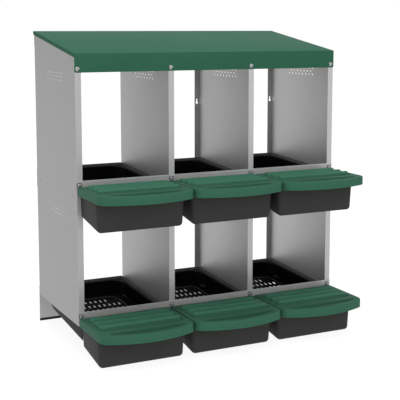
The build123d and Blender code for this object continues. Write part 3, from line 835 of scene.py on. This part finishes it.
flanks = []
for corner in (skirt_corner, *map(foot_corner, FOOT_SPANS)):
    for mirrored in (-1, 1):
        flank = corner_block("flank", corner)
        if mirrored < 0:
            bpy.ops.mesh.select_all(action="SELECT")
            bpy.ops.transform.resize(value=(-1, 1, 1), center_override=(0, 0, 0))
        if corner is skirt_corner:
            mark("painted_light_and_grey", lambda vert: True, SKIRT_GREY)
        face_outwards()
        ease_edges(flank, EASES["block"])
        flanks.append(flank)
join(pan, flanks)
smooth(pan)
tell("pan:")

# %% [markdown]
# The roof is one painted sheet: a sloping top, a deep fascia in front and short lips on the other sides.
# A plane is laid on the top and its edges are pulled down. The folds get a bending radius and the fascia's
# lower corners are rounded, then Solidify gives the sheet. The top gets a mark for painted light, a paler
# green.

# %% Roof
ROOF_SHEET = 0.0008
ROOF_FOLD = 0.0018
FASCIA_CORNER = 0.006
ROOF_LIP = 0.012
ROOF_SLOPE = 8.9

roof_low, roof_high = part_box("roof")
roof_back_top = roof_high.z
roof_front_top = slope_at(roof_back_top, -ROOF_SLOPE, roof_high.y - roof_low.y)
roof = begin("roof_sheet", bpy.ops.mesh.primitive_plane_add, size=2)
for side in (-1, 1):
    for end, y, z in ((-1, roof_low.y, roof_front_top), (1, roof_high.y, roof_back_top)):
        move_point((side, end, 0), (side * roof_high.x, y, z))


def is_roof_top(face):
    """Whether a face is the whole top of the roof."""
    return face.normal.z > FACING and face.calc_area() > LARGE


def pick_top_edges(test):
    """Select edges of the roof's top whose two ends pass a test on their place."""
    pick(
        "edges",
        lambda edge: any(map(is_roof_top, edge.link_faces)) and all(test(vert.co) for vert in edge.verts),
    )


for test, drop in (
    (lambda place: place.y < roof_low.y + NEAR, roof_front_top - roof_low.z),
    (lambda place: place.y > roof_high.y - NEAR, ROOF_LIP),
    (lambda place: place.x < roof_low.x + NEAR, ROOF_LIP),
    (lambda place: place.x > roof_high.x - NEAR, ROOF_LIP),
):
    pick_top_edges(test)
    bpy.ops.mesh.extrude_edges_move(TRANSFORM_OT_translate={"value": (0, 0, -drop)})
pick("verts", lambda vert: vert.co.z < roof_low.z + NEAR)
bevel(FASCIA_CORNER, steps=6, kind="VERTICES")
pick_top_edges(lambda place: True)
bevel(ROOF_FOLD, steps=3)
# Painted light: the top is marked for a paler green, standing for the stronger light from above.
mark("painted_top_light", lambda vert: any(map(is_roof_top, vert.link_faces)))
face_outwards()
thicken(roof, ROOF_SHEET)
smooth(roof)
tell("roof:")

# %% [markdown]
# The screws are zinc pan heads with a cross recess. Those of the rails have a thin dark sealing washer,
# those of the roof a wider head instead. One is shaped from a cylinder: a wide bevel makes the dome, two
# crossed wedges cut the recess, and other cylinders are the thread and the washer.

# %% Screw: shape
HEAD_RADIUS = 0.0041
WIDE_HEAD_RADIUS = 0.0048  # on the roof, without a washer
HEAD_HEIGHT = 0.003
HEAD_DOME = 0.0022
THREAD_RADIUS = 0.0025
RECESS_HALF = 0.0024
RECESS_WIDTH = 0.00045
RECESS_DEPTH = 0.0011
RECESS_OVER = 0.001  # by which a wedge stands out of the head
RECESS_TAPER = 0.55
THREAD_GAP = 0.0005  # between the recess and the thread's end
WASHER_RADIUS = 0.0061
WASHER_HEIGHT = 0.0007
SCREW_STEPS = 32
SCREW_SMOOTH_BELOW = 40  # degrees


def standing_rod(name, radius, low, high):
    """A cylinder along y, left open in edit mode."""
    return begin(
        name,
        bpy.ops.mesh.primitive_cylinder_add,
        vertices=SCREW_STEPS,
        radius=radius,
        depth=high - low,
        location=(0, (low + high) / 2, 0),
        rotation=(math.radians(90), 0, 0),
    )


def screw(length, sealed):
    """A pan-head screw along y, with its seat at y = 0 and its head in front."""
    head = standing_rod("screw", HEAD_RADIUS if sealed else WIDE_HEAD_RADIUS, -HEAD_HEIGHT, 0)
    pick("edges", lambda edge: all(vert.co.y < -HEAD_HEIGHT + NEAR for vert in edge.verts))
    bevel(HEAD_DOME, steps=6)
    face_outwards()
    for turned in (False, True):
        def wedge_corner(side, end, level):
            reach = 1.0 if end < 0 else RECESS_TAPER
            across = side * RECESS_HALF * reach
            thick = level * RECESS_WIDTH * reach
            y = -HEAD_HEIGHT - RECESS_OVER if end < 0 else -HEAD_HEIGHT + RECESS_DEPTH
            return (thick, y, across) if turned else (across, y, thick)
        wedge = corner_block("wedge", wedge_corner)
        face_outwards()
        carve(head, wedge)
    thread = standing_rod("thread", THREAD_RADIUS, -HEAD_HEIGHT + RECESS_DEPTH + THREAD_GAP, length)
    face_outwards()
    ease_edges(thread, EASES["rod"])
    join(head, [thread])
    if sealed:
        washer = standing_rod("washer", WASHER_RADIUS, -WASHER_HEIGHT, 0)
        mark("washer", lambda vert: True)
        face_outwards()
        ease_edges(washer, EASES["washer"])
        join(head, [washer])
    smooth(head, SCREW_SMOOTH_BELOW)
    return head


print("screw heads:", 2 * HEAD_RADIUS, "and", 2 * WIDE_HEAD_RADIUS, "across")

# %% [markdown]
# Each of the three sets gets a screw of the CAD screws' length, which is copied to their places. Those are
# found from the solids, as groups of points close together. The rear screws are turned round.

# %% Screw: places and copies


def screw_places(node):
    """Lowest and highest corner of every screw in a CAD node."""
    groups = []
    for vert in frame["nodes"][node].data.vertices:
        near = [group for group in groups if (vert.co.xz - group[0].xz).length < 2 * HEAD_RADIUS]
        if near:
            near[0].append(vert.co)
        else:
            groups.append([vert.co])
    return [
        [Vector([end(point[axis] for point in group) for axis in range(3)]) for end in (min, max)]
        for group in groups
    ]


screw_sets = []
for node in ("roof_screws", "front_rail_screws", "rear_rail_screws"):
    spots = screw_places(node)
    low, high = spots[0]
    pattern = screw(high.y - low.y - HEAD_HEIGHT, sealed=node != "roof_screws")
    backwards = node == "rear_rail_screws"
    copies = []
    for low, high in spots:
        copy = copy_of(pattern)
        seat = high.y - HEAD_HEIGHT if backwards else low.y + HEAD_HEIGHT
        copy.location = ((low.x + high.x) / 2, seat, (low.z + high.z) / 2)
        copy.rotation_euler.z = math.pi if backwards else 0
        settle()
        copies.append(copy)
    bpy.data.objects.remove(pattern)
    join(copies[0], copies[1:])
    copies[0].name = node.replace("screws", "pan_heads")
    screw_sets.append((copies[0], node))
    print(node, "->", copies[0].name, len(spots), "screws")

# %% [markdown]
# Shader maths reads best as sums and products, so a small class wraps a node's output and turns
# arithmetic into Math nodes. All other nodes come from one method, which takes the node's type, its
# settings and what feeds its inputs.

# %% Shader wires


class Wire:
    """One output of a shader node."""

    def __init__(self, socket):
        self.socket = socket

    def node(self, kind, settings, inputs, output=0):
        """Add a node to the same tree, set it up, feed its inputs and return one of its outputs."""
        tree = self.socket.id_data
        made = tree.nodes.new(kind)
        for name, value in settings.items():
            setattr(made, name, value)
        for name, value in inputs.items():
            if isinstance(value, Wire):
                tree.links.new(value.socket, made.inputs[name])
            else:
                made.inputs[name].default_value = value
        return Wire(made.outputs[output])

    def math(self, operation, first, second):
        return self.node("ShaderNodeMath", {"operation": operation}, {0: first, 1: second})

    def __add__(self, other):
        return self.math("ADD", self, other)

    __radd__ = __add__

    def __sub__(self, other):
        return self.math("SUBTRACT", self, other)

    def __rsub__(self, other):
        return self.math("SUBTRACT", other, self)

    def __mul__(self, other):
        return self.math("MULTIPLY", self, other)

    __rmul__ = __mul__

    def axis(self, index):
        """One coordinate of a vector."""
        return self.node("ShaderNodeSeparateXYZ", {}, {0: self}, index)

    def eased(self, low, high):
        """From 0 at low to 1 at high, with soft ends."""
        settings = {"interpolation_type": "SMOOTHSTEP"}
        return self.node("ShaderNodeMapRange", settings, {"Value": self, "From Min": low, "From Max": high})

    def noise(self, scale, detail=2.0):
        """Noise over these coordinates, from 0 to 1."""
        return self.node("ShaderNodeTexNoise", {}, {"Vector": self, "Scale": scale, "Detail": detail})

    def mix(self, first, second):
        """A colour between two, by this value. Each is a wire, or its red, green and blue."""
        colours = [colour if isinstance(colour, Wire) else (*colour, 1) for colour in (first, second)]
        return self.node("ShaderNodeMix", {"data_type": "RGBA"}, {0: self, 6: colours[0], 7: colours[1]}, 2)

    def bump(self, depth, strength=1.0):
        """A normal from this height."""
        return self.node("ShaderNodeBump", {}, {"Height": self, "Distance": depth, "Strength": strength})


print("shader wires ready")

# %% [markdown]
# A finish is a material with one Principled shader. Plain numbers go straight on its sockets, and wires feed
# those that vary over the piece. Patterns start from the place on the piece, so they have their real size.

# %% Finish


class Finish:
    """A material with a Principled shader: constants on its sockets, wires for what varies."""

    def __init__(self, name, **constants):
        self.material = bpy.data.materials.new(name)
        self.material.use_nodes = True
        tree = self.material.node_tree
        self.shader = tree.nodes["Principled BSDF"]
        for socket, value in constants.items():
            self.shader.inputs[socket.replace("_", " ")].default_value = value
        self.place = Wire(tree.nodes.new("ShaderNodeTexCoord").outputs["Object"])

    def feed(self, **wires):
        for socket, wire in wires.items():
            self.material.node_tree.links.new(wire.socket, self.shader.inputs[socket.replace("_", " ")])


def grey(level):
    """A colour without a tint."""
    return level, level, level


print("finish recipe ready")

# %% [markdown]
# Galvanised sheet is steel in a thin coat of zinc, which freezes in flat crystals a centimetre across. On
# fresh sheet they differ only a little in brightness and gloss. Voronoi cells give the crystals, a broad
# noise the cloudiness of the coat, and a noise stretched along z the faint lines of the rolling mill.
# The rest depends on the place: the outside is painted darker as shade, the inner faces paler as painted
# light and rougher, bare cut edges are dark steel and also painted shade in the holes, hens have scuffed the
# fronts low on each tier, and painted light makes the sheet paler to the right and low down.

# %% Galvanised sheet
CRYSTAL_SCALE = 85.0
ROLLING_SCALE = (260.0, 260.0, 3.0)
SIDE_SHEET = 0.4645  # middle of a side panel's sheet, on either side of x = 0
DIVIDER_SHEET = 0.1545
CUT_HALF = 0.00045
FRONT_FLANGE = -0.0912  # just behind the front flanges' faces
TIER_RISE = 0.4145
SCUFF = (0.130, 0.200)  # heights over a tier's foot
PAINTED_LIGHT_X = (-0.5, 0.6)  # painted light: paler to the right
PAINTED_LIGHT_Z = (0.35, 0.55)  # and painted light below
FRONT_GREYS = ((0.358, 0.356, 0.357), (0.445, 0.441, 0.442))  # darkest and palest
# inner faces paler: painted light
INNER_PAINTED_LIGHT_GREYS = ((0.375, 0.373, 0.374), (0.520, 0.516, 0.517))
# outside darker: painted shade
OUTER_PAINTED_SHADE_GREYS = (grey(0.258), grey(0.308))
# bare steel at cut edges, darker still as painted shade in the holes
BARE_CUT_AND_SHADE_GREY = grey(0.09)

galvanised = Finish("galvanised_sheet", Specular_IOR_Level=0.3)
place = galvanised.place
cells = place.node("ShaderNodeTexVoronoi", {}, {"Vector": place, "Scale": CRYSTAL_SCALE}, "Color")
crystal = cells.node("ShaderNodeSeparateColor", {}, {0: cells}, 0)
cloud = place.noise(4.0, 3.0)
stretched = place.node("ShaderNodeMapping", {}, {"Vector": place, "Scale": ROLLING_SCALE})
rolled = stretched.noise(1.0, 2.0)
shade = 0.45 * crystal + 0.35 * cloud + 0.2 * rolled

aside = place.math("ABSOLUTE", place.axis(0), 0.0)
outside = aside.math("GREATER_THAN", aside, SIDE_SHEET + CUT_HALF)
by_side = aside.math("COMPARE", aside, SIDE_SHEET)
by_divider = aside.math("COMPARE", aside, DIVIDER_SHEET)
for band in (by_side, by_divider):
    band.socket.node.inputs[2].default_value = CUT_HALF
front = place.axis(1).math("LESS_THAN", place.axis(1), FRONT_FLANGE)
cut = (by_side + by_divider) * (1 - front)
inside = (1 - outside) * (1 - front)
height = place.axis(2)
over_scuff = height.math("MODULO", height, TIER_RISE).eased(*SCUFF)
scuff = front * (1 - over_scuff) * height.math("LESS_THAN", height, 2 * TIER_RISE)

# Painted light: the tone grows paler to the right and low down, besides the sheet's own crystals and
# clouding.
tone_and_painted_light = 0.25 * shade + 0.60 * place.axis(0).eased(*PAINTED_LIGHT_X) + 0.25 * (1 - height.eased(*PAINTED_LIGHT_Z))
# Painted light on the inner faces and painted shade on the outside, by their greys.
faces = inside.mix(tone_and_painted_light.mix(*FRONT_GREYS), tone_and_painted_light.mix(*INNER_PAINTED_LIGHT_GREYS))
faces = outside.mix(faces, shade.mix(*OUTER_PAINTED_SHADE_GREYS))
galvanised.feed(
    Base_Color=cut.mix(faces, BARE_CUT_AND_SHADE_GREY),
    Metallic=0.85 - 0.45 * scuff,
    Roughness=0.32 + 0.05 * crystal + 0.06 * cloud + 0.10 * inside + 0.2 * cut,
    Normal=rolled.bump(0.000008, 0.4),
)
print("sheet:", galvanised.material.name, len(galvanised.material.node_tree.nodes), "nodes")

# %% [markdown]
# The roof's powder coat melts into a satin skin with a fine orange peel. The lids are moulded in almost the
# same green, in a mould with a fine grain, and look flatter. The two share one recipe with other numbers.
# The marks on their points lead to a second colour: painted light, paler on the roof's top, and painted
# shade, darker on the lids.

# %% Green finishes
MOULD_GRAIN = 1500.0
MOULD_DEPTH = 0.00005


def coated(name, colours, sheen, roughness, grain=MOULD_GRAIN, depth=MOULD_DEPTH, marked=None):
    """A coloured skin with faint clouding and a fine relief. A mark on the mesh can change the colour."""
    finish = Finish(name, Metallic=0.0, IOR=1.48, Specular_IOR_Level=sheen)
    cloud = finish.place.noise(7.0, 3.0)
    relief = finish.place.noise(grain, 2.0)
    colour = (0.7 * cloud + 0.3 * relief).mix(*colours)
    if marked:
        attribute, other = marked
        amount = finish.place.node("ShaderNodeAttribute", {"attribute_name": attribute}, {}, "Fac")
        colour = (amount * (0.75 + 0.5 * cloud)).mix(colour, other)
    finish.feed(
        Base_Color=colour,
        Roughness=roughness + 0.10 * cloud + 0.08 * relief,
        Normal=relief.bump(depth, 0.6),
    )
    return finish


green_paint = coated(
    "green_powder_coat",
    colours=((0.020, 0.079, 0.049), (0.027, 0.095, 0.061)),
    sheen=0.015,
    roughness=0.42,
    grain=900.0,
    depth=0.00006,
    # painted light: a paler green on the roof's top
    marked=("painted_top_light", (0.028, 0.108, 0.068)),
)
green_plastic = coated(
    "green_plastic",
    colours=((0.031, 0.117, 0.074), (0.041, 0.136, 0.088)),
    sheen=0.09,
    roughness=0.55,
    # painted shade: a darker green on the lids' border, at the ridges' feet and in the hollows
    marked=("groove", (0.0105, 0.043, 0.027)),
)
print("greens:", green_paint.material.name, green_plastic.material.name)

# %% [markdown]
# Trays and pans are dark polypropylene with the same fine mould grain: the trays a dark grey, the pans
# black, with painted light on the rim and a painted highlight along the platform's edge, and dark grey
# skirts.
# The edging under the back rail is a softer, duller black.

# %% Dark finishes
grey_plastic = coated(
    "dark_grey_plastic",
    colours=((0.031, 0.031, 0.030), (0.041, 0.041, 0.040)),
    sheen=0.05,
    roughness=0.45,
)
black_plastic = coated(
    "black_plastic",
    colours=(grey(0.0012), grey(0.0024)),
    sheen=0.01,
    roughness=0.34,
    depth=0.00004,
    # painted light on the rim, a painted highlight along the platform's edge, and the skirts' dark grey
    marked=("painted_light_and_grey", grey(0.13)),
)
edging = coated(
    "edging_rubber",
    colours=(grey(0.011), grey(0.018)),
    sheen=0.15,
    roughness=0.62,
    grain=700.0,
    depth=0.00008,
)
print("dark:", grey_plastic.material.name, black_plastic.material.name, edging.material.name)

# %% [markdown]
# Screws, nuts and rivets have a bright zinc plating with a slight haze. The washers on the rails are black
# rubber. They share the screws' mesh, so a mark on their points tells the finish where they are.

# %% Zinc plating
zinc = Finish("zinc_plating")
haze = zinc.place.noise(420.0, 3.0)
washer = zinc.place.node("ShaderNodeAttribute", {"attribute_name": "washer"}, {}, "Fac")
plating = haze.mix((0.31, 0.312, 0.315), (0.41, 0.412, 0.415))
zinc.feed(
    Base_Color=washer.mix(plating, grey(0.008)),
    Metallic=0.85 - 0.85 * washer,
    Roughness=0.34 + 0.16 * haze + 0.2 * washer,
    Normal=haze.bump(0.00003, 0.3),
)
print("plating:", zinc.material.name)

# %% [markdown]
# Now the mouldings are copied into their nests, each copy with its own mesh, and take the place of their
# CAD solids. A lid rides on its own body and moves with it. All else stays with the frame.

# %% Dress the frame


def dress(piece, finish, body, node):
    """Give a piece its finish, put it on the body that carries it, and hide the CAD node it stands for."""
    piece.data.materials.clear()
    piece.data.materials.append(finish.material)
    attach(piece, body)
    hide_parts(node)


mouldings = (
    (lid, "lid", "egg_lid", green_plastic, "green_plastic"),
    (tray, "tray", "egg_tray", grey_plastic, "dark_grey_plastic"),
    (pan, "pan", "nest_pan", black_plastic, "black_plastic"),
)
for pattern, name, node, finish, slot in mouldings:
    for (tier, column), place in nests.items():
        copy = copy_of(pattern)
        copy.name = f"{name}_{tier}_{column}"
        copy.location = place
        settle()
        body = f"lid_{tier}_{column}" if name == "lid" else "frame"
        dress(copy, finish, body, f"{node}_{tier}_{column}")
    bpy.data.objects.remove(pattern)
dress(roof, green_paint, "frame", "roof")
for piece, node in screw_sets:
    dress(piece, zinc, "frame", node)

finishes = {"galvanised_sheet": galvanised, "edging": edging, "zinc_fasteners": zinc}
kept = 0
for entry in frame["record"]["subparts"]:
    finish = finishes.get(entry["material_slot"])
    if finish:
        solid = frame["nodes"][entry["node"]]
        for slot in solid.material_slots:
            slot.material = finish.material
        kept += 1
print("dressed;", kept, "solids keep their shape")

# %% [markdown]
# The studio is a pale floor that runs out to a white surround. A soft grey band in the surround, a little
# left of the middle, gives the metal something darker to reflect. The floor glows a little, like a light
# table, so that the shadows under the box stay faint.

# %% Studio: floor and surround
FLOOR_SIZE = 60.0
FLOOR_GLOW = 0.9
FLOOR_GREYS = (0.13, 0.15)
BAND_GREY = 0.70
BAND_MIDDLE = -0.27  # a direction's share of x
BAND_HALF = 0.26

bpy.ops.object.select_all(action="DESELECT")
bpy.ops.mesh.primitive_plane_add(size=FLOOR_SIZE)
floor = bpy.context.object
floor.name = "floor"
pale = Finish("pale_floor", Metallic=0.0, Roughness=0.9, Specular_IOR_Level=0.0)
pale.shader.inputs["Emission Strength"].default_value = FLOOR_GLOW
pale.shader.inputs["Emission Color"].default_value = (1, 1, 1, 1)
pale.feed(Base_Color=pale.place.noise(0.6).mix(*map(grey, FLOOR_GREYS)))
floor.data.materials.append(pale.material)

world = bpy.data.worlds.new("surround")
bpy.context.scene.world = world
world.use_nodes = True
surround = world.node_tree.nodes["Background"]
way = Wire(world.node_tree.nodes.new("ShaderNodeTexCoord").outputs["Generated"])
lit = way.math("ABSOLUTE", way.axis(0) - BAND_MIDDLE, 0.0).eased(0.0, BAND_HALF)
world.node_tree.links.new(lit.mix(grey(BAND_GREY), grey(1)).socket, surround.inputs["Color"])
print("floor:", pale.material.name, "surround:", world.name)

# %% [markdown]
# One wide soft light stands high in front. Two weak ones lighten the fronts, from the left and the right.

# %% Studio: lights


def soft_light(name, place, target, size, power):
    """A square soft box that faces a target."""
    bpy.ops.object.light_add(type="AREA", location=place)
    light = bpy.context.object
    light.name = name
    light.data.size = size
    light.data.energy = power
    light.rotation_euler = (Vector(target) - Vector(place)).to_track_quat("-Z", "Y").to_euler()


soft_light("high_light", place=(-0.6, -1.6, 3.5), target=(0, -0.2, 0.4), size=1.6, power=46.0)
soft_light("front_light", place=(-0.7, -2.1, 0.95), target=(0, 0, 0.15), size=1.0, power=5.0)
soft_light("right_light", place=(1.9, -3.2, 0.6), target=(0.3, 0, 0.4), size=1.0, power=3.0)

look = bpy.context.scene.view_settings
look.view_transform = "Standard"
look.look = "None"
look.exposure = 0.0
